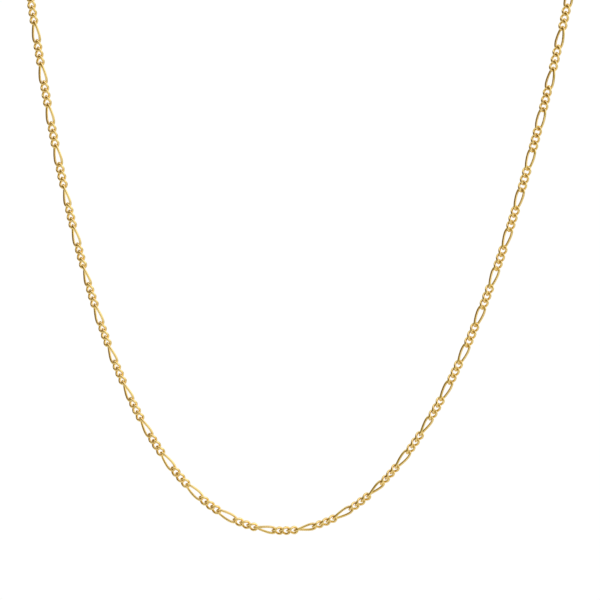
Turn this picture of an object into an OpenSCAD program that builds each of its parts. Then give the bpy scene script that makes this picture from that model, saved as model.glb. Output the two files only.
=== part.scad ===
// A fine twisted chain necklace: three small links and one long link, over and over.
// It hangs as it is worn. X runs across the neck, -Y is the front and Z is up.
// The origin is at the nape, in the middle of the clasp.

/* [Chain] */
// Width across the links
chain_w = 2.05; // [2.05:0.05:2.2]
// Diameter of the wire
wire_d = 0.48; // [0.44:0.01:0.48]
// Length of chain that each small link adds
small_pitch = 1.62; // [1.6:0.01:1.7]
// Length of chain that each long link adds
long_pitch = 4.06; // [3.9:0.02:4.2]
// Small links between two long ones
small_run = 3; // [1:2:5]
// Clear space between two links where they cross
link_gap = 0.15; // [0.14:0.01:0.17]
// Twist from one end of a link to its other end, in degrees
link_twist = -90; // [-95:1:-85]

/* [Hang] */
// Radius of the hanging curve at its lowest point
hang_radius = 23.3; // [22:0.1:26]
// Length of the hanging curve, from its lowest point to a shoulder
front_reach = 144; // [144:0.5:146]
// Distance of one run's middle small link past the lowest point
run_offset = 1.5; // [0:0.1:3]
// Distance from the front of the neck to the nape
neck_depth = 56; // [50:1:60]
// Height of the nape over the shoulders of the curve
shoulder_drop = 14; // [10:1:20]

/* [Clasp] */
// Diameter of the clasp's ring, to the middle of its tube
clasp_ring_d = 4.4; // [4.2:0.1:5]
// Diameter of the clasp's tube
clasp_tube_d = 0.9; // [0.8:0.05:1]
// Diameter of the clasp's eye, to the middle of its wire
eye_d = 1.5; // [1.4:0.05:1.6]
// Diameter of the ring at the chain's other end, to the middle of its wire
end_ring_d = 2.8; // [2.7:0.1:3.2]
// Diameter of that ring's wire
end_wire_d = 0.6; // [0.5:0.05:0.6]

/* [Hidden] */
$fn = 48;

// Corners round a small link, round a long link, round the wire and round the nape's stretch
small_sides = 10;
long_sides = 12;
wire_sides = 5;
nape_sides = 8;
// Clear space between pieces that only lie against each other
seat = 0.15;
// Clear space between the clasp's ring and the ring that hangs in it
ring_gap = 0.12;
// Spacing of the rings along the nape's stretch
nape_step = 5;
// How square the long link's outline is: 1 is an ellipse, less is fuller
long_fullness = 0.8;
// Part of a link's half length over which it twists; past it the ends lie flat
twist_reach = 0.75;

// Roll of the links about the chain's own line, by distance along the front.
// The chain turns one way and the other as it hangs, and turns over towards the right shoulder.
// [distance, degrees]
roll_table = [
    [-150, 27], [-98, 26], [-88, 38], [-50, 43], [-26, 17], [-11, 15], [1, 36], [28, 41],
    [52, 16], [80, 14], [94, 10], [124, -26], [150, -26]
];

// What follows from the sizes above
half_w = (chain_w - wire_d) / 2;
pattern = small_run * small_pitch + long_pitch;
run_start = run_offset - small_run / 2 * small_pitch;
side_patterns = floor((front_reach - abs(run_start)) / pattern);
left_end = run_start - side_patterns * pattern;
right_end = run_start + side_patterns * pattern;
link_overhang = (wire_d + link_gap + wire_d) / 2;
clasp_reach = (clasp_ring_d + clasp_tube_d) / 2;
wire_bite = 0.4;
eye_x = clasp_reach + (eye_d + wire_d) / 2 - wire_bite;
end_ring_x = -(clasp_ring_d - clasp_tube_d - end_wire_d) / 2 + ring_gap - end_ring_d / 2;
nape_end = -end_ring_x + (end_ring_d + end_wire_d) / 2 + seat;

function unit(v) = v / norm(v);
function asinh(x) = ln(x + sqrt(x * x + 1));
// v turned about a unit axis, when v is square to the axis or not
function turn(v, axis, angle) =
    v * cos(angle) + cross(axis, v) * sin(angle) + axis * (axis * v) * (1 - cos(angle));

// The hanging curve of the front: a catenary in the plane y = -neck_depth
function hang_height(s) = sqrt(hang_radius * hang_radius + s * s);
function front_point(s) = [
    hang_radius * asinh(s / hang_radius),
    -neck_depth,
    hang_height(s) - hang_height(front_reach) - shoulder_drop
];
function front_dir(s) = unit([hang_radius, 0, s]);

// An arc that leaves p in direction t and passes through q: [p, t, inward normal, radius, angle]
function arc_to(p, t, q) =
    let (c = q - p, n = unit(c - (c * t) * t), r = (c * c) / (2 * (n * c)))
    [p, t, n, r, 2 * atan2(n * c, t * c)];
function arc_length(a) = a[3] * a[4] * PI / 180;
function arc_angle(a, s) = s / a[3] * 180 / PI;
function arc_point(a, s) =
    let (w = arc_angle(a, s)) a[0] + a[3] * (sin(w) * a[1] + (1 - cos(w)) * a[2]);
function arc_dir(a, s) = let (w = arc_angle(a, s)) cos(w) * a[1] + sin(w) * a[2];

// From the shoulder to the nape: two arcs that join smoothly
nape_from = front_point(front_reach);
nape_from_dir = front_dir(front_reach);
nape_to = [nape_end, 0, 0];
nape_to_dir = [-1, 0, 0];
chord = nape_to - nape_from;
openness = 2 * (1 - nape_from_dir * nape_to_dir);
along = chord * (nape_from_dir + nape_to_dir);
handle = (sqrt(along * along + openness * (chord * chord)) - along) / openness;
meet = (nape_from + nape_to + handle * (nape_from_dir - nape_to_dir)) / 2;
rise_arc = arc_to(nape_from, nape_from_dir, meet);
back_arc = arc_to(meet, arc_dir(rise_arc, arc_length(rise_arc)), nape_to);
rise_axis = cross(rise_arc[1], rise_arc[2]);
back_axis = cross(back_arc[1], back_arc[2]);
rise_end = front_reach + arc_length(rise_arc);
side_length = rise_end + arc_length(back_arc);

// The chain's line from the lowest point to the nape, on the right-hand side
function side_point(s) =
    s < front_reach ? front_point(s)
    : s < rise_end ? arc_point(rise_arc, s - front_reach)
    : arc_point(back_arc, s - rise_end);
function side_dir(s) =
    s < front_reach ? front_dir(s)
    : s < rise_end ? arc_dir(rise_arc, s - front_reach)
    : arc_dir(back_arc, s - rise_end);
// A direction square to the line, carried along it without twisting
function side_normal(s) =
    s < front_reach ? cross([0, -1, 0], front_dir(s))
    : let (
        v = cross([0, -1, 0], nape_from_dir),
        w = turn(v, rise_axis, arc_angle(rise_arc, min(s, rise_end) - front_reach))
    )
    s < rise_end ? w : turn(w, back_axis, arc_angle(back_arc, s - rise_end));

// A power that keeps the sign, for the outline's fuller corners
function signed_pow(v, power) = sign(v) * pow(abs(v), power);
// Corner i of the line inside one link's wire: a many-sided oval, straight across its two ends,
// whose plane turns by link_twist from one end to the other
function link_corner(half_l, sides, power, i) =
    let (
        t = 360 * (i + 0.5) / sides,
        x = half_l * signed_pow(cos(t) / cos(180 / sides), power),
        w = half_w * signed_pow(sin(t), power),
        part = max(-1, min(1, x / half_l / twist_reach)),
        a = link_twist / 2 * sin(90 * part)
    )
    [x, w * cos(a), w * sin(a)];
// Corners of the wire's five-sided skin, ring by ring round the link
function link_skin(pitch, sides, power) =
    let (
        half_l = (pitch + wire_d + link_gap) / 2,
        line = [for (i = [0 : sides - 1]) link_corner(half_l, sides, power, i)]
    )
    [for (i = [0 : sides - 1])
        let (
            p = line[i],
            t = unit(line[(i + 1) % sides] - line[(i + sides - 1) % sides]),
            out = unit(p - (p * t) * t),
            up = cross(t, out)
        )
        for (j = [0 : wire_sides - 1])
            p + wire_d / 2 * (cos(360 * j / wire_sides) * out + sin(360 * j / wire_sides) * up)
    ];
function link_faces(sides, first) =
    [for (i = [0 : sides - 1], j = [0 : wire_sides - 1])
        let (
            i2 = (i + 1) % sides,
            j2 = (j + 1) % wire_sides,
            a = first + i * wire_sides + j,
            b = first + i2 * wire_sides + j,
            c = first + i2 * wire_sides + j2,
            d = first + i * wire_sides + j2
        )
        each [[a, b, c], [a, c, d]]
    ];

small_skin = link_skin(small_pitch, small_sides, 1);
long_skin = link_skin(long_pitch, long_sides, long_fullness);

// A link's skin set on the line between two places along the front
function placed(skin, from, to) =
    let (
        p = front_point(from),
        q = front_point(to),
        x = unit(q - p),
        roll = lookup((from + to) / 2, roll_table),
        inward = cross([0, -1, 0], x),
        y = turn(inward, x, roll),
        z = cross(x, y)
    )
    [for (v = skin) (p + q) / 2 + v[0] * x + v[1] * y + v[2] * z];

// Links in pattern order, [skin, sides, from, to] each, for the patterns that start at these places
function run_of_links(starts) =
    [for (s = starts)
        each [
            for (k = [0 : small_run - 1])
                [small_skin, small_sides, s + k * small_pitch, s + (k + 1) * small_pitch],
            [long_skin, long_sides, s + small_run * small_pitch, s + pattern]
        ]
    ];
function running_total(list, i = 0, sum = 0) =
    i == len(list) ? [] : concat([sum], running_total(list, i + 1, sum + list[i]));

// Loose links, each through the next, as one node
module linked(first, last) {
    links = run_of_links([for (n = [first : last]) run_start + n * pattern]);
    offsets = running_total([for (l = links) len(l[0])]);
    polyhedron(
        [for (l = links) each placed(l[0], l[2], l[3])],
        [for (i = [0 : len(links) - 1]) each link_faces(links[i][1], offsets[i])],
        convexity = 10
    );
}

// Plain stand-in for the chain behind the neck, from where the links end to the clasp
module nape_tube(from) {
    count = ceil((side_length - from) / nape_step);
    places = [for (i = [0 : count]) from + (side_length - from) * i / count];
    points = [for (s = places)
        let (t = side_dir(s), u = side_normal(s), v = cross(t, u))
        for (j = [0 : nape_sides - 1])
            side_point(s) + chain_w / 2 * (cos(360 * j / nape_sides) * u + sin(360 * j / nape_sides) * v)
    ];
    walls = [for (i = [0 : count - 1], j = [0 : nape_sides - 1])
        let (a = i * nape_sides + j, b = i * nape_sides + (j + 1) % nape_sides)
        each [[a, a + nape_sides, b + nape_sides], [a, b + nape_sides, b]]
    ];
    start_cap = [for (j = [0 : nape_sides - 1]) j];
    end_cap = [for (j = [nape_sides - 1 : -1 : 0]) count * nape_sides + j];
    polyhedron(points, concat(walls, [start_cap, end_cap]), convexity = 4);
}

module ring(d, thick) {
    rotate_extrude() translate([d / 2, 0]) circle(d = thick);
}

module chain_left() {
    color([0.85, 0.67, 0.33]) linked(-side_patterns, -1);
}
module chain_right() {
    color([0.85, 0.67, 0.33]) linked(0, side_patterns - 1);
}
module nape_left() {
    color([0.8, 0.62, 0.3]) mirror([1, 0, 0]) nape_tube(-left_end + link_overhang + seat);
}
module nape_right() {
    color([0.8, 0.62, 0.3]) nape_tube(right_end + link_overhang + seat);
}
// A round spring clasp, closed: its tube, its eye and the knob that opens it
module clasp() {
    knob_d = 0.6;
    knob_h = 0.7;
    color([0.85, 0.67, 0.33]) {
        rotate([90, 0, 0]) ring(clasp_ring_d, clasp_tube_d);
        translate([eye_x, 0, 0]) rotate([90, 0, 0]) ring(eye_d, wire_d);
        rotate([0, -40, 0]) translate([clasp_reach - wire_d / 2, 0, 0]) rotate([0, 90, 0])
            cylinder(h = knob_h, d = knob_d);
    }
}
module end_ring() {
    color([0.85, 0.67, 0.33]) translate([end_ring_x, 0, 0]) ring(end_ring_d, end_wire_d);
}

chain_left();
chain_right();
nape_left();
nape_right();
clasp();
end_ring();
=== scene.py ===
"""Looks of the twisted chain necklace: its links, its clasp, the studio and the camera.

Laid out as an add-on. Run as a script, it builds everything once.
"""

import math
import random

import bpy
import numpy as np
from mathutils import Matrix, Vector


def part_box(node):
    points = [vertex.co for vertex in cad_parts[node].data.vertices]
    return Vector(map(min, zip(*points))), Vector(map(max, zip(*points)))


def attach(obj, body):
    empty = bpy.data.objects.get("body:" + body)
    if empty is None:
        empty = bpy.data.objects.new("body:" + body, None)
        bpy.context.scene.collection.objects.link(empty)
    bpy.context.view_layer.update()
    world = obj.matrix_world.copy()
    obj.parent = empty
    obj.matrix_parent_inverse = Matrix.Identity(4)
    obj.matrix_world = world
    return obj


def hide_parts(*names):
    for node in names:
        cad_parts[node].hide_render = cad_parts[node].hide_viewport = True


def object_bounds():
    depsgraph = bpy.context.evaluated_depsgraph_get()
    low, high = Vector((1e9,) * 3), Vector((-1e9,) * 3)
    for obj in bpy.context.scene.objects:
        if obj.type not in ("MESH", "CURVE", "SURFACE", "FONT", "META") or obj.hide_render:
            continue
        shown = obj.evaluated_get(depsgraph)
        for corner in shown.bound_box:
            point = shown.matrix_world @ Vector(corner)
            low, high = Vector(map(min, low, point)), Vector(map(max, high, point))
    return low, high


bl_info = {
    "name": "Twisted Chain Necklace",
    "version": (1, 0, 0),
    "blender": (4, 5, 0),
    "location": "View3D > Sidebar > Necklace",
    "description": "Builds a gold necklace of twisted links on its packed frame",
    "category": "Add Mesh",
}

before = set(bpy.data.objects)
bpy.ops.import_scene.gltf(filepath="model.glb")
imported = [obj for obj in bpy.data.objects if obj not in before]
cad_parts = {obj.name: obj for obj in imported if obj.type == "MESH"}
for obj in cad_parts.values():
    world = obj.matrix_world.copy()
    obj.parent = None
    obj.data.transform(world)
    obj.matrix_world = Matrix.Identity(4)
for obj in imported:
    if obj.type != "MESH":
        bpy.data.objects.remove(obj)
CAD_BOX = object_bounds()
MM = 0.001

# The frame gives the plane that the front hangs in, and where the clasp and the end ring are.
FRONT_LOW, FRONT_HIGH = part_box("chain_left")
CLASP_LOW, CLASP_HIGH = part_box("clasp")
RING_LOW, RING_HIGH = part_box("end_ring")
NAPE_DEPTH = -(FRONT_LOW[1] + FRONT_HIGH[1]) / 2
RING_WIRE = RING_HIGH[2] - RING_LOW[2]
RING_DIAMETER = RING_HIGH[1] - RING_LOW[1] - RING_WIRE
RING_X = (RING_LOW[0] + RING_HIGH[0]) / 2
CLASP_TUBE = CLASP_HIGH[1] - CLASP_LOW[1]
CLASP_DIAMETER = CLASP_HIGH[2] - CLASP_LOW[2] - CLASP_TUBE


def srgb(code):
    """A hex colour, such as F6D58B, as linear red, green and blue."""
    steps = [int(code[i : i + 2], 16) / 255 for i in (0, 2, 4)]
    return tuple(c / 12.92 if c <= 0.04045 else ((c + 0.055) / 1.055) ** 2.4 for c in steps)


# Settings


def length(name, description, mm):
    return bpy.props.FloatProperty(name=name, description=description, default=mm * MM, unit="LENGTH")


def angle(name, description, degrees):
    return bpy.props.FloatProperty(
        name=name, description=description, default=math.radians(degrees), subtype="ANGLE"
    )


def colour(name, description, code):
    return bpy.props.FloatVectorProperty(
        name=name, description=description, default=srgb(code), subtype="COLOR", size=3
    )


class ChainSettings(bpy.types.PropertyGroup):
    """The links."""

    width: length("Width", "Width across the links", 2.05)
    wire: length("Wire", "Diameter of the wire", 0.56)
    small_pitch: length("Small pitch", "Length of chain that a small link adds", 1.62)
    long_pitch: length("Long pitch", "Length of chain that a long link adds", 4.06)
    small_run: bpy.props.IntProperty(name="Small links", description="Small links in a run", default=3)
    patterns: bpy.props.IntProperty(
        name="Patterns", description="Patterns of links on each side of the front", default=16
    )
    play: length("Play", "Clear space between two links where they cross", 0.03)
    twist: angle("Twist", "Twist from one end of a link to its other end", -89)
    small_fullness: bpy.props.FloatProperty(
        name="Small fullness", description="Power of the small link's outline; 2 is an ellipse", default=2.2
    )
    long_fullness: bpy.props.FloatProperty(
        name="Long fullness", description="Power of the long link's outline; 2 is an ellipse", default=3.4
    )
    wander: angle("Wander", "How far each link strays from the roll of the links beside it", 2)


class HangSettings(bpy.types.PropertyGroup):
    """The line that the chain hangs in."""

    radius: length("Radius", "Radius of the hanging curve at its lowest point", 23.3)
    reach: length("Reach", "Length of the hanging curve to a shoulder", 144)
    drop: length("Drop", "Height of the nape over the shoulders", 14)
    offset: length("Offset", "Middle of the first run past the lowest point", 1.5)
    nape_end: length("Nape end", "Distance of the nape's stand-ins from the middle", 4.58)


class ClaspSettings(bpy.types.PropertyGroup):
    """The spring ring."""

    eye: length("Eye", "Diameter of the eye, to the middle of its wire", 1.5)
    eye_wire: length("Eye wire", "Diameter of the eye's wire", 0.48)
    latch: length("Latch", "Diameter of the latch that closes the ring", 0.64)
    knob: length("Knob", "Diameter of the knob that draws the latch back", 0.6)


class GoldSettings(bpy.types.PropertyGroup):
    """The gold."""

    light: colour("Light tone", "Yellow gold where it is cleanest", "F5DD98")
    deep: colour("Deep tone", "Yellow gold where it is a little duller", "EBCD84")
    draw_lines: length("Draw lines", "Spacing of the lines that drawing leaves along the wire", 0.09)
    ripple: length("Ripple", "Width of the soft ripples that tumbling leaves", 0.45)


class StudioSettings(bpy.types.PropertyGroup):
    """The floor, the light and the camera."""

    paper: colour("Paper", "The floor", "FAFAF8")
    floor_gap: length("Floor gap", "Distance of the floor below the necklace", 350)
    floor_radius: length("Floor radius", "Radius of the round floor", 1200)
    azimuth: angle("Azimuth", "The camera's turn to the right of the front", 0.5)
    elevation: angle("Elevation", "The camera's height angle", 5.77)
    roll: angle("Roll", "The camera's roll", 2.13)
    distance: length("Distance", "The camera's distance from the front's plane", 499.5)
    aim_x: length("Aim across", "Where the camera aims, across", 2.9)
    aim_up: length("Aim up", "Where the camera aims, above the chain's lowest point", 50.99)
    lens: bpy.props.FloatProperty(name="Lens", description="Focal length in millimetres", default=138.06)


GROUPS = {
    "necklace_chain": ChainSettings,
    "necklace_hang": HangSettings,
    "necklace_clasp": ClaspSettings,
    "necklace_gold": GoldSettings,
    "necklace_studio": StudioSettings,
}


# The chain's line


def unit(v):
    return v / np.linalg.norm(v)


def turned(v, axis, turn):
    """v turned about a unit axis."""
    c, s = math.cos(turn), math.sin(turn)
    return v * c + np.cross(axis, v) * s + axis * (axis @ v) * (1 - c)


class Arc:
    """An arc that leaves a point in one direction and passes through another point."""

    def __init__(self, start, direction, target):
        chord = target - start
        self.start, self.direction = start, direction
        self.inward = unit(chord - (chord @ direction) * direction)
        self.radius = (chord @ chord) / (2 * (self.inward @ chord))
        self.turn = 2 * math.atan2(self.inward @ chord, direction @ chord)
        self.length = self.radius * self.turn
        self.axis = np.cross(direction, self.inward)

    def at(self, s):
        w = s / self.radius
        point = self.start + self.radius * (math.sin(w) * self.direction + (1 - math.cos(w)) * self.inward)
        return point, math.cos(w) * self.direction + math.sin(w) * self.inward

    def carried(self, v, s):
        """v, square to the line at the arc's start, carried along it without twisting."""
        return turned(v, self.axis, s / self.radius)


class NecklaceLine:
    """The chain's middle line: a hanging curve in front, then two arcs a side to the nape, in metres."""

    def __init__(self, hang):
        self.radius, self.reach, self.drop = hang.radius, hang.reach, hang.drop
        point, direction, inward = self.front(self.reach)
        nape, to_middle = np.array([hang.nape_end, 0, 0]), np.array([-1.0, 0, 0])
        chord = nape - point
        openness = 2 * (1 - direction @ to_middle)
        along = chord @ (direction + to_middle)
        handle = (math.sqrt(along * along + openness * (chord @ chord)) - along) / openness
        meet = (point + nape + handle * (direction - to_middle)) / 2
        self.rise = Arc(point, direction, meet)
        self.back = Arc(meet, self.rise.at(self.rise.length)[1], nape)
        self.inward = inward
        self.length = self.reach + self.rise.length + self.back.length

    def front(self, s):
        """Point, direction and inward normal at a distance from the lowest point."""
        height = math.hypot(self.radius, s) - math.hypot(self.radius, self.reach) - self.drop
        direction = unit(np.array([self.radius, 0, s]))
        point = np.array([self.radius * math.asinh(s / self.radius), -NAPE_DEPTH, height])
        return point, direction, np.cross([0, -1, 0], direction)

    def side(self, s):
        """The same on the right-hand side, as far as the nape and straight on past it."""
        if s < self.reach:
            return self.front(s)
        s -= self.reach
        if s < self.rise.length:
            return *self.rise.at(s), self.rise.carried(self.inward, s)
        s -= self.rise.length
        carried = self.rise.carried(self.inward, self.rise.length)
        point, direction = self.back.at(min(s, self.back.length))
        over = max(0, s - self.back.length)
        return point + over * direction, direction, self.back.carried(carried, min(s, self.back.length))

    def at(self, s):
        """The same anywhere: distances on the left of the lowest point are negative."""
        if s >= 0:
            return self.side(s)
        mirror = np.array([-1, 1, 1])
        point, direction, inward = self.side(-s)
        return point * mirror, -direction * mirror, inward * mirror


# Meshes


class Skin:
    """Grows one mesh out of swept tubes.

    It keeps the corners, the faces, each corner's place along and round the wire in millimetres, and each
    tube's tone from 0 to 1.
    """

    def __init__(self):
        self.points, self.faces, self.places, self.tones = [], [], [], []
        self.count = 0

    def add(self, rings, closed, place=None, tone=0.5):
        """Adds a tube, given as its corners ring by ring. place is a matrix that turns it and its middle."""
        n, m = rings.shape[:2]
        middle = rings.mean(axis=1)
        steps = np.linalg.norm(np.diff(middle, axis=0, append=middle[:1]), axis=1)
        along = np.concatenate([[0], np.cumsum(steps)]) / MM
        girth = np.linalg.norm(rings[n // 2, 1] - rings[n // 2, 0]) * m / MM
        corners = rings.reshape(-1, 3)
        if place is not None:
            corners = corners @ place[0] + place[1]
        i, j = np.meshgrid(np.arange(n if closed else n - 1), np.arange(m), indexing="ij")
        i, j = i.ravel(), j.ravel()
        i2, j2 = (i + 1) % n, (j + 1) % m
        quads = np.stack([i * m + j, i * m + j2, i2 * m + j2, i2 * m + j], axis=1)
        u = np.stack([along[i], along[i], along[i + 1], along[i + 1]], axis=1)
        v = np.stack([j, j + 1, j + 1, j], axis=1) * girth / m
        self.points.append(corners)
        self.faces += (quads + self.count).tolist()
        self.places.append(np.stack([u, v], axis=2).reshape(-1, 2))
        if not closed:
            for end in (list(range(m - 1, -1, -1)), [(n - 1) * m + k for k in range(m)]):
                self.faces.append([self.count + k for k in end])
                self.places.append(np.zeros((m, 2)))
        self.tones.append(np.full(len(corners), tone))
        self.count += len(corners)

    def piece(self, name, material, *nodes):
        """Makes the finished object, in the place of these CAD nodes."""
        mesh = bpy.data.meshes.new(name)
        mesh.from_pydata(np.concatenate(self.points).tolist(), [], self.faces)
        mesh.uv_layers.new(name="wire").data.foreach_set("uv", np.concatenate(self.places).ravel())
        tone = mesh.attributes.new("tone", "FLOAT", "POINT")
        tone.data.foreach_set("value", np.concatenate(self.tones))
        mesh.shade_smooth()
        mesh.materials.append(material)
        mesh.validate()
        piece = bpy.data.objects.new(name, mesh)
        bpy.context.scene.collection.objects.link(piece)
        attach(piece, "root")
        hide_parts(*nodes)


def swept(line, outward, radius, sides):
    """Rings of corners round a line. radius may be one number, one a ring or one a corner."""
    ahead = np.roll(line, -1, axis=0) - np.roll(line, 1, axis=0)
    ahead /= np.linalg.norm(ahead, axis=1)[:, None]
    out = outward - np.sum(outward * ahead, axis=1)[:, None] * ahead
    out /= np.linalg.norm(out, axis=1)[:, None]
    up = np.cross(ahead, out)
    w = np.arange(sides) * 2 * math.pi / sides
    radius = np.broadcast_to(radius, (sides, len(line))).T if np.ndim(radius) < 2 else radius
    spoke = np.cos(w)[None, :, None] * out[:, None] + np.sin(w)[None, :, None] * up[:, None]
    return line[:, None] + radius[:, :, None] * spoke


def open_swept(line, outward, radius, sides):
    """swept for a line with two ends."""
    before, after = 2 * line[0] - line[1], 2 * line[-1] - line[-2]
    longer = np.concatenate([[before], line, [after]])
    out = np.concatenate([outward[:1], outward, outward[-1:]])
    if np.ndim(radius):
        radius = np.concatenate([radius[:1], radius, radius[-1:]])
    return swept(longer, out, radius, sides)[1:-1]


# The clasp's slot: how far it is sunk, as a share of the tube's radius, half its width round the tube and
# the length of its sloping ends round the ring, in radians.
SLOT_DEPTH = 0.2
SLOT_HALF_WIDTH = 0.25
SLOT_SLOPE = 0.04


def slotted(w, radius, sides, slot_from, slot_to):
    """Radius at each corner of the tube, sunk along a narrow slot on the outside."""
    turn = (w + math.pi) % (2 * math.pi) - math.pi
    along = np.clip(np.minimum(turn - slot_from, slot_to - turn) / SLOT_SLOPE, 0, 1)
    around = np.arange(sides) * 2 * math.pi / sides
    across = np.abs((around + math.pi) % (2 * math.pi) - math.pi) < SLOT_HALF_WIDTH
    return radius[:, None] * (1 - SLOT_DEPTH * along[:, None] * across[None, :])


def swelling(w, middle, height, spread):
    """A smooth swelling round a ring, such as solder: 1 away from it and 1 + height at its middle."""
    return 1 + height * np.exp(-(((w - middle) / spread) ** 2))


# Faces along and round each link's wire, and the steps that its outline is measured in.
LINK_RINGS = {"small": 44, "long": 68}
WIRE_SIDES = 14
OUTLINE_STEPS = 4000


def pattern_kinds(chain):
    """The links of one pattern in turn."""
    return ["small"] * chain.small_run + ["long"]


def link_pitch(chain, kind):
    """Length of chain that a link of this kind adds."""
    return chain.small_pitch if kind == "small" else chain.long_pitch


def link_rings(chain, kind, stretch):
    """One twisted link about its own middle, with its length along X and its mean plane in XY."""
    power = chain.small_fullness if kind == "small" else chain.long_fullness
    half_l = (link_pitch(chain, kind) * stretch + chain.wire + chain.play) / 2
    half_w = (chain.width - chain.wire) / 2
    t = np.linspace(0, 2 * math.pi, OUTLINE_STEPS + 1)
    x = half_l * np.sign(np.cos(t)) * np.abs(np.cos(t)) ** (2 / power)
    y = half_w * np.sign(np.sin(t)) * np.abs(np.sin(t)) ** (2 / power)
    walked = np.concatenate([[0], np.cumsum(np.hypot(np.diff(x), np.diff(y)))])
    even = np.linspace(0, walked[-1], LINK_RINGS[kind], endpoint=False)
    x, y = np.interp(even, walked, x), np.interp(even, walked, y)
    # A small link's ends are flat and its middle takes the twist; a long one twists evenly.
    turn = np.sin(math.pi / 2 * x / half_l) if kind == "small" else x / half_l
    plane = chain.twist / 2 * turn
    line = np.stack([x, y * np.cos(plane), y * np.sin(plane)], axis=1)
    return swept(line, line, chain.wire / 2, WIRE_SIDES)


def pattern_length(chain):
    return sum(link_pitch(chain, kind) for kind in pattern_kinds(chain))


def front_ends(chain, hang):
    """Where the front's left half starts, where its right half starts, and where that ends."""
    half = chain.patterns * pattern_length(chain)
    start = hang.offset - chain.small_run * chain.small_pitch / 2
    return start - half, start, start + half


# Roll of each long link and each run of small links about the chain's own line, in degrees, in turn along
# the front from left to right. LOWEST is the place in the row of the run at the lowest point. The angles
# come from a separate script, which rendered the chain at several rolls and took the one nearest to the
# photograph. Some were then eased, so that no link cuts the next one.
LOWEST = 27
ROLL = [
    33, 25, 28, 24, 31, 26, 55, 37, 38, 39, 55, 34, 33, 40, 50, 37, 50, 28, 39, 19, 24, 12, 17, 16, 13, 23,
    41, 21, 49, 38, 31, 35, 54, 39, 27, 29, 40, 19, 21, 17, 19, 10, 19, 15, 28, 15, 25, 15, 17, -4, 13, -7,
    -6, -26, -34,
]


def front_roll(chain, hang):
    """The links' roll by distance along the front."""
    places = hang.offset + (np.arange(len(ROLL)) - LOWEST) * pattern_length(chain) / 2
    return lambda s: math.radians(np.interp(s, places, ROLL))


# How much of a link's wander its neighbours share, from two links before it to two after it.
SHARED_WANDER = (0.25, 0.5, 0.7, 0.5, 0.25)


# Seeds of the wander and the tones in each stretch of links.
SEEDS = {"chain_left": 11, "chain_right": 23, "nape_right": 37, "nape_left": 41}


def wandering(seed, count, reach):
    """A smooth seeded wander, one value a link."""
    pick = random.Random(seed)
    raw = np.array([pick.uniform(-1, 1) for _ in range(count + len(SHARED_WANDER) - 1)])
    return reach * np.convolve(raw, SHARED_WANDER, "valid")


def add_links(skin, line, chain, kinds, start, stretch, roll_at, seed):
    """Links one after another from a place on the line, in the direction of growing distance."""
    shapes = {kind: link_rings(chain, kind, stretch) for kind in LINK_RINGS}
    strays = wandering(seed, len(kinds), chain.wander)
    pick = random.Random(seed + 1)
    s = start
    for kind, stray in zip(kinds, strays):
        end = s + link_pitch(chain, kind) * stretch
        p, q = line.at(s)[0], line.at(end)[0]
        inward = line.at((s + end) / 2)[2]
        x = unit(q - p)
        y = turned(unit(inward - (inward @ x) * x), x, roll_at((s + end) / 2) + stray)
        skin.add(shapes[kind], True, (np.array([x, y, np.cross(x, y)]), (p + q) / 2), pick.random())
        s = end


# Materials


def add_node(tree, kind, links=None, **settings):
    """Adds a node. links maps its inputs to other nodes' outputs; settings set properties and inputs."""
    node = tree.nodes.new(kind)
    for key, value in settings.items():
        if key.startswith("in_"):
            name = key[3:]
            node.inputs[int(name) if name.isdigit() else name.replace("_", " ")].default_value = value
        else:
            setattr(node, key, value)
    for name, source in (links or {}).items():
        tree.links.new(source, node.inputs[name])
    return node


# The wave texture draws about this many bands in each unit at a scale of 1.
WAVE_BANDS = 3.2
# The tumbling's slow change of polish and tone is this many times as wide as its ripples.
CLOUD_WIDTH = 4
# Roughness where the polish is best and where it is a little worn.
POLISH = (0.09, 0.15)
# Size of the paper's tooth.
PAPER_TOOTH = 1.667 * MM


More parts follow.
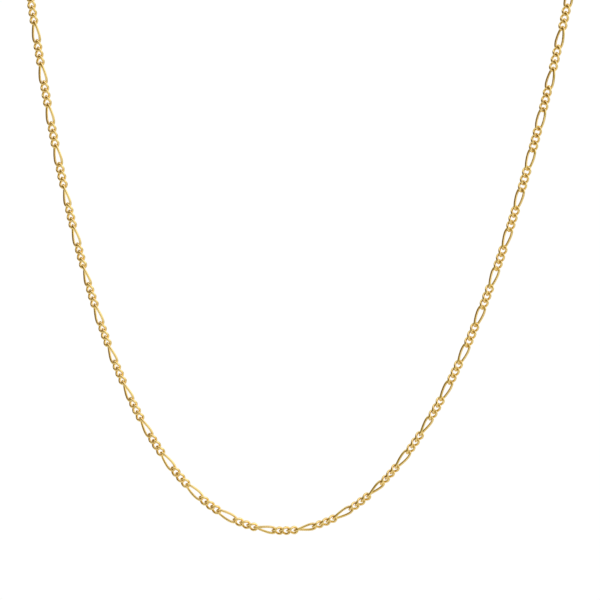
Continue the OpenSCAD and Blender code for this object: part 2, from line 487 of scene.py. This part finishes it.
def polished_yellow_gold(settings):
    """14 carat yellow gold wire, drawn, bent into links and tumble polished.

    It gives the eye a warm pale mirror that is never quite flat: soft ripples from the tumbling bend its
    highlights, faint lines run along the wire, and each link is a little lighter or deeper than the next.
    """
    material = bpy.data.materials.new("polished_yellow_gold")
    material.use_nodes = True
    tree = material.node_tree
    tree.nodes.clear()
    wire = add_node(tree, "ShaderNodeUVMap", uv_map="wire").outputs["UV"]
    body = add_node(tree, "ShaderNodeTexCoord").outputs["Object"]
    tone = add_node(tree, "ShaderNodeAttribute", attribute_name="tone").outputs["Fac"]
    # The lines are drawn far coarser than the real ones, which are too fine to show.
    lines = add_node(
        tree, "ShaderNodeTexWave", {"Vector": wire}, bands_direction="Y",
        in_Scale=MM / settings.draw_lines / WAVE_BANDS, in_Distortion=1.5, in_Detail=2.0, in_Detail_Scale=0.4,
    ).outputs["Fac"]
    ripple = add_node(
        tree, "ShaderNodeTexNoise", {"Vector": body},
        in_Scale=1 / settings.ripple, in_Detail=2.0, in_Roughness=0.5,
    ).outputs["Fac"]
    cloud = add_node(
        tree, "ShaderNodeTexNoise", {"Vector": body},
        in_Scale=1 / (CLOUD_WIDTH * settings.ripple), in_Detail=3.0,
    ).outputs["Fac"]
    blend = add_node(tree, "ShaderNodeMath", {0: tone, 1: cloud}, operation="MULTIPLY_ADD", in_2=0.1)
    base = add_node(tree, "ShaderNodeMix", {"Factor": blend.outputs[0]}, data_type="RGBA")
    base.inputs["A"].default_value = (*settings.light, 1)
    base.inputs["B"].default_value = (*settings.deep, 1)
    rough = add_node(
        tree, "ShaderNodeMapRange", {"Value": cloud},
        in_From_Min=0.3, in_From_Max=0.7, in_To_Min=POLISH[0], in_To_Max=POLISH[1],
    )
    dents = add_node(tree, "ShaderNodeBump", {"Height": ripple}, in_Strength=0.35, in_Distance=0.05 * MM)
    scored = add_node(
        tree, "ShaderNodeBump", {"Height": lines, "Normal": dents.outputs[0]},
        in_Strength=0.12, in_Distance=0.01 * MM,
    )
    gold = add_node(
        tree, "ShaderNodeBsdfPrincipled",
        {"Base Color": base.outputs["Result"], "Roughness": rough.outputs[0], "Normal": scored.outputs[0]},
        in_Metallic=1.0,
    )
    add_node(tree, "ShaderNodeOutputMaterial", {"Surface": gold.outputs[0]})
    return material


def studio_paper(settings):
    """Matt white paper off the roll: an even pale field with a very faint tooth.

    The tooth is drawn coarser than the real one, which is too fine to show.
    """
    material = bpy.data.materials.new("studio_paper")
    material.use_nodes = True
    tree = material.node_tree
    tree.nodes.clear()
    place = add_node(tree, "ShaderNodeTexCoord").outputs["Object"]
    tooth = add_node(
        tree, "ShaderNodeTexNoise", {"Vector": place}, in_Scale=1 / PAPER_TOOTH, in_Detail=2.0
    )
    bump = add_node(tree, "ShaderNodeBump", {"Height": tooth.outputs["Fac"]}, in_Strength=0.05)
    paper = add_node(
        tree, "ShaderNodeBsdfPrincipled", {"Normal": bump.outputs[0]},
        in_Base_Color=(*settings.paper, 1), in_Roughness=0.9,
    )
    add_node(tree, "ShaderNodeOutputMaterial", {"Surface": paper.outputs[0]})
    return material


def gold_of(scene):
    """The gold, made for the first piece that asks for it."""
    return bpy.data.materials.get("polished_yellow_gold") or polished_yellow_gold(scene.necklace_gold)


# Operators


class NECKLACE_OT_front_chain(bpy.types.Operator):
    """Hang the front of the chain, in two pieces that link at the lowest point"""

    bl_idname = "necklace.front_chain"
    bl_label = "Front Chain"

    def execute(self, context):
        scene = context.scene
        chain, hang = scene.necklace_chain, scene.necklace_hang
        line = NecklaceLine(hang)
        left, middle, _ = front_ends(chain, hang)
        kinds = pattern_kinds(chain) * chain.patterns
        for name, start in (("chain_left", left), ("chain_right", middle)):
            skin = Skin()
            add_links(skin, line, chain, kinds, start, 1, front_roll(chain, hang), SEEDS[name])
            skin.piece("links_" + name, gold_of(scene), name)
        return {"FINISHED"}


class NECKLACE_OT_nape_chain(bpy.types.Operator):
    """Carry the chain round the neck to the clasp's eye and to the end ring"""

    bl_idname = "necklace.nape_chain"
    bl_label = "Nape Chain"

    def execute(self, context):
        scene = context.scene
        chain, hang, clasp = scene.necklace_chain, scene.necklace_hang, scene.necklace_clasp
        line = NecklaceLine(hang)
        left, _, right = front_ends(chain, hang)
        past_nape = line.length + hang.nape_end
        # The wire at a link's tip lies this far past the link's pitch.
        tip = (chain.wire + chain.play) / 2
        eye_wire_x = CLASP_HIGH[0] - clasp.eye_wire / 2
        ring_wire_x = -RING_LOW[0] - RING_WIRE / 2
        eye_x = eye_wire_x - (clasp.eye_wire + chain.wire) / 2 - chain.play / 2 + tip
        ring_x = ring_wire_x - (RING_WIRE + chain.wire) / 2 - chain.play / 2 + tip
        kinds = pattern_kinds(chain)
        # The right side starts a pattern; the left side, walked outwards, starts with its long link.
        for name, start, end, order in (
            ("nape_right", right, past_nape - eye_x, kinds),
            ("nape_left", -left, past_nape - ring_x, kinds[::-1]),
        ):
            row, walked = [], 0
            while walked + link_pitch(chain, order[len(row) % len(order)]) / 2 < end - start:
                row.append(order[len(row) % len(order)])
                walked += link_pitch(chain, row[-1])
            stretch = (end - start) / walked
            right_hand = name == "nape_right"
            # The last link's end wire crosses the eye's or the ring's wire squarely.
            _, x, inward = line.at(end if right_hand else -end)
            across = np.array([0, 1.0, 0]) if right_hand else np.array([0, 0, 1.0])
            wanted = math.atan2(across @ np.cross(x, inward), across @ inward)
            wanted -= chain.twist / 2 * (1 if right_hand else -1)
            begin = front_roll(chain, hang)(start if right_hand else -start)
            wanted = begin + (wanted - begin + math.pi / 2) % math.pi - math.pi / 2

            def roll_at(s):
                return begin + (wanted - begin) * (abs(s) - start) / (end - start)

            skin = Skin()
            if right_hand:
                add_links(skin, line, chain, row, start, stretch, roll_at, SEEDS[name])
            else:
                add_links(skin, line, chain, row[::-1], -end, stretch, roll_at, SEEDS[name])
            skin.piece("links_" + name, gold_of(scene), name)
        return {"FINISHED"}


# Angles round the spring ring in degrees, from the eye towards the top.
MOUTH = (62, 112)
KNOB_AT = 40
SLOT_FROM = 12
# How far the latch goes into the tube at each side of the mouth, in radians.
LATCH_HIDDEN = 0.1
# The tube's ends are rolled in over this length, to this share of its radius.
ROLLED_IN = 0.22 * MM
ROLLED_TO = 0.72
# The knob's outline: heights above the tube, and the radius there as a share of the knob's.
KNOB_HEIGHTS = (-0.2, 0.12, 0.14, 0.2, 0.5, 0.6, 0.66, 0.7)
KNOB_WAIST = (0.7, 0.7, 0.78, 0.7, 0.72, 1, 0.92, 0.55)
# The solder where the eye meets the tube: its height as a share of the wire's radius, and its spread round
# the eye in radians.
EYE_SOLDER = (0.35, 0.55)
# Rings of corners along the tube, the latch and the eye, and corners round each and round the knob.
TUBE_RINGS, TUBE_SIDES = 121, 32
LATCH_RINGS, LATCH_SIDES = 25, 20
EYE_RINGS, EYE_SIDES = 64, 18
KNOB_SIDES = 24


class NECKLACE_OT_clasp(bpy.types.Operator):
    """Make the spring ring: its tube with the latch's slot, the latch, the knob and the eye"""

    bl_idname = "necklace.clasp"
    bl_label = "Clasp"

    def execute(self, context):
        scene = context.scene
        settings = scene.necklace_clasp
        skin = Skin()
        mouth_from, mouth_to, knob_at, slot_from = map(math.radians, (*MOUTH, KNOB_AT, SLOT_FROM))
        tube = CLASP_TUBE / 2
        ring = CLASP_DIAMETER / 2

        def circle(first, last, count, radius):
            w = np.linspace(first, last, count)
            return w, np.stack([radius * np.cos(w), 0 * w, radius * np.sin(w)], axis=1)

        # The tube, open at the mouth, with rolled-in ends.
        w, line = circle(mouth_to, mouth_from + 2 * math.pi, TUBE_RINGS, ring)
        edge = np.clip(np.minimum(w - w[0], w[-1] - w) * ring / ROLLED_IN, 0, 1)
        radius = tube * (ROLLED_TO + (1 - ROLLED_TO) * np.sqrt(1 - (1 - edge) ** 2))
        radius = slotted(w, radius, TUBE_SIDES, slot_from, knob_at)
        skin.add(open_swept(line, line, radius, TUBE_SIDES), False)
        # The latch across the mouth.
        _, line = circle(mouth_from - LATCH_HIDDEN, mouth_to + LATCH_HIDDEN, LATCH_RINGS, ring)
        skin.add(open_swept(line, line, settings.latch / 2, LATCH_SIDES), False)
        # The knob, a short turned pin with a rounded head.
        out = np.array([math.cos(knob_at), 0, math.sin(knob_at)])
        heights = np.array(KNOB_HEIGHTS) * MM - settings.eye_wire / 2
        waist = np.array(KNOB_WAIST) * settings.knob / 2
        line = (ring + tube + heights)[:, None] * out
        skin.add(open_swept(line, np.tile([0, 1.0, 0], (len(line), 1)), waist, KNOB_SIDES), False)
        # The eye, soldered to the tube.
        eye_x = CLASP_HIGH[0] - settings.eye_wire / 2 - settings.eye / 2
        w = np.linspace(0, 2 * math.pi, EYE_RINGS, endpoint=False)
        spoke = settings.eye / 2 * np.stack([np.cos(w), 0 * w, np.sin(w)], axis=1)
        wire = settings.eye_wire / 2 * swelling(w, math.pi, *EYE_SOLDER)
        skin.add(swept(spoke + [eye_x, 0, 0], spoke, wire, EYE_SIDES), True)
        skin.piece("spring_ring", gold_of(scene), "clasp")
        return {"FINISHED"}


# The end ring's soldered joint: its angle round the ring from the right-hand side, its height as a share of
# the wire's radius, and its spread, with both angles in radians.
SOLDERED_JOINT = (2.1, 0.06, 0.12)
# Rings of corners along the end ring, and corners round it.
END_RINGS, END_SIDES = 72, 20


class NECKLACE_OT_end_ring(bpy.types.Operator):
    """Make the ring at the chain's other end, with its soldered joint"""

    bl_idname = "necklace.end_ring"
    bl_label = "End Ring"

    def execute(self, context):
        w = np.linspace(0, 2 * math.pi, END_RINGS, endpoint=False)
        spoke = RING_DIAMETER / 2 * np.stack([np.cos(w), np.sin(w), 0 * w], axis=1)
        # The joint is a low bead of solder.
        wire = RING_WIRE / 2 * swelling(w, *SOLDERED_JOINT)
        skin = Skin()
        skin.add(swept(spoke + [RING_X, 0, 0], spoke, wire, END_SIDES), True)
        skin.piece("soldered_ring", gold_of(context.scene), "end_ring")
        return {"FINISHED"}


# The tent's own level, the least that its dim panels leave, and its panels: the direction of each, how far
# it reaches in degrees, and the red, green and blue that it adds. A panel is even out to PANEL_CORE of its
# reach and fades from there. The panels come from a separate script's fit to the photograph's tones. The
# levels of the first four were then changed.
TENT = (0.48, 0.445, 0.24)
TENT_LEAST = (0.06, 0.05, 0.015)
PANELS = (
    ((-0.21, -0.26, 0.94), 35, (0.92, 0.96, 1.12)),
    ((0.77, -0.26, 0.58), 60, (1.18, 1.19, 1.36)),
    ((-0.94, -0.27, 0.2), 50, (-0.36, -0.45, -0.8)),
    ((0.4, -0.64, 0.66), 48, (-0.52, -0.57, -0.4)),
    ((0.03, 0.99, 0.1), 60, (0.52, 0.56, 0.72)),
)
PANEL_CORE = 0.35
# The backdrop's white, a hair over full so that it shows as pure white.
BACKDROP = (1.02, 1.02, 1.02)
# Corners round the floor's edge.
FLOOR_SIDES = 128


class NECKLACE_OT_studio(bpy.types.Operator):
    """Lay the paper floor and set up the tent's light and the camera"""

    bl_idname = "necklace.studio"
    bl_label = "Studio"

    def execute(self, context):
        scene = context.scene
        settings = scene.necklace_studio
        self.paper(scene, settings)
        self.light(scene)
        self.camera(scene, settings)
        scene.view_settings.view_transform = "Standard"
        return {"FINISHED"}

    def paper(self, scene, settings):
        """A wide round floor, far enough below the necklace to stay out of the photograph's frame."""
        floor = CAD_BOX[0][2] - settings.floor_gap
        w = np.linspace(0, 2 * math.pi, FLOOR_SIDES, endpoint=False)
        points = np.stack([np.cos(w), np.sin(w), 0 * w], axis=1) * settings.floor_radius
        mesh = bpy.data.meshes.new("paper_floor")
        mesh.from_pydata((points + [0, 0, floor]).tolist(), [], [list(range(len(w)))])
        mesh.materials.append(studio_paper(settings))
        sheet = bpy.data.objects.new("paper_floor", mesh)
        scene.collection.objects.link(sheet)

    def light(self, scene):
        """A soft tent, bright above, on the right and behind, and dim in front and on the left."""
        world = bpy.data.worlds.new("tent")
        scene.world = world
        world.use_nodes = True
        tree = world.node_tree
        tree.nodes.clear()
        facing = add_node(tree, "ShaderNodeTexCoord").outputs["Generated"]
        level = add_node(tree, "ShaderNodeRGB").outputs[0]
        level.default_value = (*TENT, 1)
        for towards, reach, change in PANELS:
            towards = Vector(towards).normalized()
            cosine = add_node(
                tree, "ShaderNodeVectorMath", {0: facing}, operation="DOT_PRODUCT", in_1=towards
            ).outputs["Value"]
            panel = add_node(
                tree, "ShaderNodeMapRange", {"Value": cosine}, interpolation_type="SMOOTHSTEP",
                in_From_Min=math.cos(math.radians(reach)),
                in_From_Max=math.cos(math.radians(PANEL_CORE * reach)),
            ).outputs[0]
            level = add_node(
                tree, "ShaderNodeVectorMath", {0: panel, 2: level}, operation="MULTIPLY_ADD", in_1=change
            ).outputs[0]
        level = add_node(
            tree, "ShaderNodeVectorMath", {0: level}, operation="MAXIMUM", in_1=TENT_LEAST
        ).outputs[0]
        tent = add_node(tree, "ShaderNodeBackground", {"Color": level}).outputs[0]
        backdrop = add_node(tree, "ShaderNodeBackground", in_Color=(*BACKDROP, 1)).outputs[0]
        # What is seen past the necklace is the plain backdrop; what lights it is the tent.
        seen = add_node(tree, "ShaderNodeLightPath").outputs["Is Camera Ray"]
        both = add_node(tree, "ShaderNodeMixShader", {0: seen, 1: tent, 2: backdrop})
        add_node(tree, "ShaderNodeOutputWorld", {"Surface": both.outputs[0]})

    def camera(self, scene, settings):
        """The photograph's angle: a little above straight on, and a little rolled."""
        turn, tilt, roll = -settings.azimuth, settings.elevation, settings.roll
        forward = Vector((math.sin(turn) * math.cos(tilt), math.cos(turn) * math.cos(tilt), -math.sin(tilt)))
        right = Vector((math.cos(turn), -math.sin(turn), 0))
        up = right.cross(forward)
        right, up = (
            math.cos(roll) * right + math.sin(roll) * up,
            math.cos(roll) * up - math.sin(roll) * right,
        )
        lowest = NecklaceLine(scene.necklace_hang).at(0)[0]
        aim = Vector((settings.aim_x, lowest[1], lowest[2] + settings.aim_up))
        data = bpy.data.cameras.new("camera")
        data.lens = settings.lens
        data.clip_start, data.clip_end = 0.01, 10
        camera = bpy.data.objects.new("camera", data)
        place = Matrix((right, up, -forward)).transposed().to_4x4()
        place.translation = aim - forward * settings.distance
        camera.matrix_world = place
        scene.collection.objects.link(camera)
        scene.camera = camera


class NECKLACE_PT_panel(bpy.types.Panel):
    """The necklace's pieces and settings"""

    bl_idname = "NECKLACE_PT_panel"
    bl_label = "Twisted Chain Necklace"
    bl_space_type = "VIEW_3D"
    bl_region_type = "UI"
    bl_category = "Necklace"

    def draw(self, context):
        for operator in OPERATORS:
            self.layout.operator(operator.bl_idname)
        for name in GROUPS:
            box = self.layout.box()
            group = getattr(context.scene, name)
            box.label(text=type(group).__name__)
            for key in type(group).__annotations__:
                box.prop(group, key)


OPERATORS = (
    NECKLACE_OT_front_chain,
    NECKLACE_OT_nape_chain,
    NECKLACE_OT_clasp,
    NECKLACE_OT_end_ring,
    NECKLACE_OT_studio,
)
CLASSES = (*GROUPS.values(), *OPERATORS, NECKLACE_PT_panel)


def register():
    for cls in CLASSES:
        bpy.utils.register_class(cls)
    for name, group in GROUPS.items():
        setattr(bpy.types.Scene, name, bpy.props.PointerProperty(type=group))


def unregister():
    for name in GROUPS:
        delattr(bpy.types.Scene, name)
    for cls in reversed(CLASSES):
        bpy.utils.unregister_class(cls)


def main():
    register()
    bpy.ops.necklace.front_chain()
    bpy.ops.necklace.nape_chain()
    bpy.ops.necklace.clasp()
    bpy.ops.necklace.end_ring()
    bpy.ops.necklace.studio()


if __name__ == "__main__":
    main()
